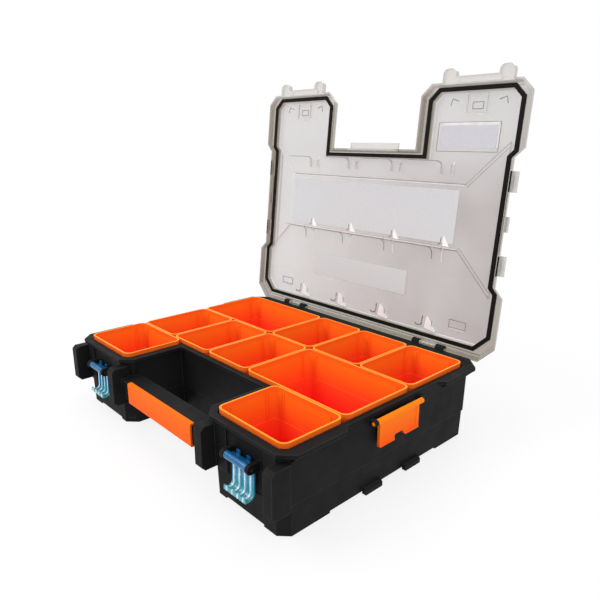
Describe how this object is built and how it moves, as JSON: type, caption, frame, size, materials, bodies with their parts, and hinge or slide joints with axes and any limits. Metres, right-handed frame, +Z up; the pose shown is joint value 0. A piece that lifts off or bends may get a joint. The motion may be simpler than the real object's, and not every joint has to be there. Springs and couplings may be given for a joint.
{
  "type": "stackable organizer box",
  "caption": "Stackable organizer box with lift-out orange bins, a clear hinged lid with a seal, flip latches, side stacking clips and a front carrying handle",
  "frame": {"origin": "middle of the face that the tray stands on", "axes": "X to the right seen from the handle side, Y to the back where the hinge is, Z up"},
  "size_m": [0.448, 0.3828, 0.4326],
  "materials": {
    "body_black": "moulded, fine grain",
    "grip_orange": "satin moulded",
    "clip_orange": "satin moulded",
    "bin_orange": "smooth moulded",
    "lid_clear": "clear, slightly smoky, polished",
    "gasket_black": "soft matte",
    "label_film": "plain blank film",
    "pin_steel": "drawn wire",
    "latch_blue": "glossy coat on pressed metal"
  },
  "bodies": {
    "base": {"base_tray": "body_black", "handle_grip": "grip_orange", "hinge_pin_right": "pin_steel", "hinge_pin_left": "pin_steel", "latch_pin_right": "pin_steel", "latch_pin_left": "pin_steel"},
    "lid": {"lid_shell": "lid_clear", "lid_gasket": "gasket_black", "label_main": "label_film", "label_lower": "label_film", "label_arm": "label_film"},
    "latch_right_body": {"latch_right": "latch_blue"},
    "latch_left_body": {"latch_left": "latch_blue"},
    "side_clip_right_body": {"side_clip_right": "clip_orange"},
    "side_clip_left_body": {"side_clip_left": "clip_orange"},
    "bin_front_left_body": {"bin_front_left": "bin_orange"},
    "bin_front_right_body": {"bin_front_right": "bin_orange"},
    "bin_middle_1_body": {"bin_middle_1": "bin_orange"},
    "bin_middle_2_body": {"bin_middle_2": "bin_orange"},
    "bin_middle_3_body": {"bin_middle_3": "bin_orange"},
    "bin_middle_wide_body": {"bin_middle_wide": "bin_orange"},
    "bin_back_wide_body": {"bin_back_wide": "bin_orange"},
    "bin_back_3_body": {"bin_back_3": "bin_orange"},
    "bin_back_4_body": {"bin_back_4": "bin_orange"},
    "bin_back_5_body": {"bin_back_5": "bin_orange"}
  },
  "joints": [
    {"name": "lid_hinge", "type": "hinge", "parent": "base", "child": "lid", "pos_m": [0, 0.1716, 0.089], "axis": [-1, 0, 0], "range_deg": [-96, 0]},
    {"name": "latch_right_hinge", "type": "hinge", "parent": "base", "child": "latch_right_body", "pos_m": [0.151, -0.1587, 0.063], "axis": [1, 0, 0], "range_deg": [-178, 0]},
    {"name": "latch_left_hinge", "type": "hinge", "parent": "base", "child": "latch_left_body", "pos_m": [-0.151, -0.1587, 0.063], "axis": [1, 0, 0], "range_deg": [-178, 0]},
    {"name": "side_clip_right_hinge", "type": "hinge", "parent": "base", "child": "side_clip_right_body", "pos_m": [0.213, 0.005, 0.081], "axis": [0, -1, 0], "range_deg": [0, 155]},
    {"name": "side_clip_left_hinge", "type": "hinge", "parent": "base", "child": "side_clip_left_body", "pos_m": [-0.213, 0.005, 0.081], "axis": [0, 1, 0], "range_deg": [0, 155]},
    {"name": "bin_front_left_lift", "type": "slide", "parent": "base", "child": "bin_front_left_body", "axis": [0, 0, 1], "range_m": [0, 0.1]},
    {"name": "bin_front_right_lift", "type": "slide", "parent": "base", "child": "bin_front_right_body", "axis": [0, 0, 1], "range_m": [0, 0.1]},
    {"name": "bin_middle_1_lift", "type": "slide", "parent": "base", "child": "bin_middle_1_body", "axis": [0, 0, 1], "range_m": [0, 0.1]},
    {"name": "bin_middle_2_lift", "type": "slide", "parent": "base", "child": "bin_middle_2_body", "axis": [0, 0, 1], "range_m": [0, 0.1]},
    {"name": "bin_middle_3_lift", "type": "slide", "parent": "base", "child": "bin_middle_3_body", "axis": [0, 0, 1], "range_m": [0, 0.1]},
    {"name": "bin_middle_wide_lift", "type": "slide", "parent": "base", "child": "bin_middle_wide_body", "axis": [0, 0, 1], "range_m": [0, 0.1]},
    {"name": "bin_back_wide_lift", "type": "slide", "parent": "base", "child": "bin_back_wide_body", "axis": [0, 0, 1], "range_m": [0, 0.1]},
    {"name": "bin_back_3_lift", "type": "slide", "parent": "base", "child": "bin_back_3_body", "axis": [0, 0, 1], "range_m": [0, 0.1]},
    {"name": "bin_back_4_lift", "type": "slide", "parent": "base", "child": "bin_back_4_body", "axis": [0, 0, 1], "range_m": [0, 0.1]},
    {"name": "bin_back_5_lift", "type": "slide", "parent": "base", "child": "bin_back_5_body", "axis": [0, 0, 1], "range_m": [0, 0.1]}
  ]
}
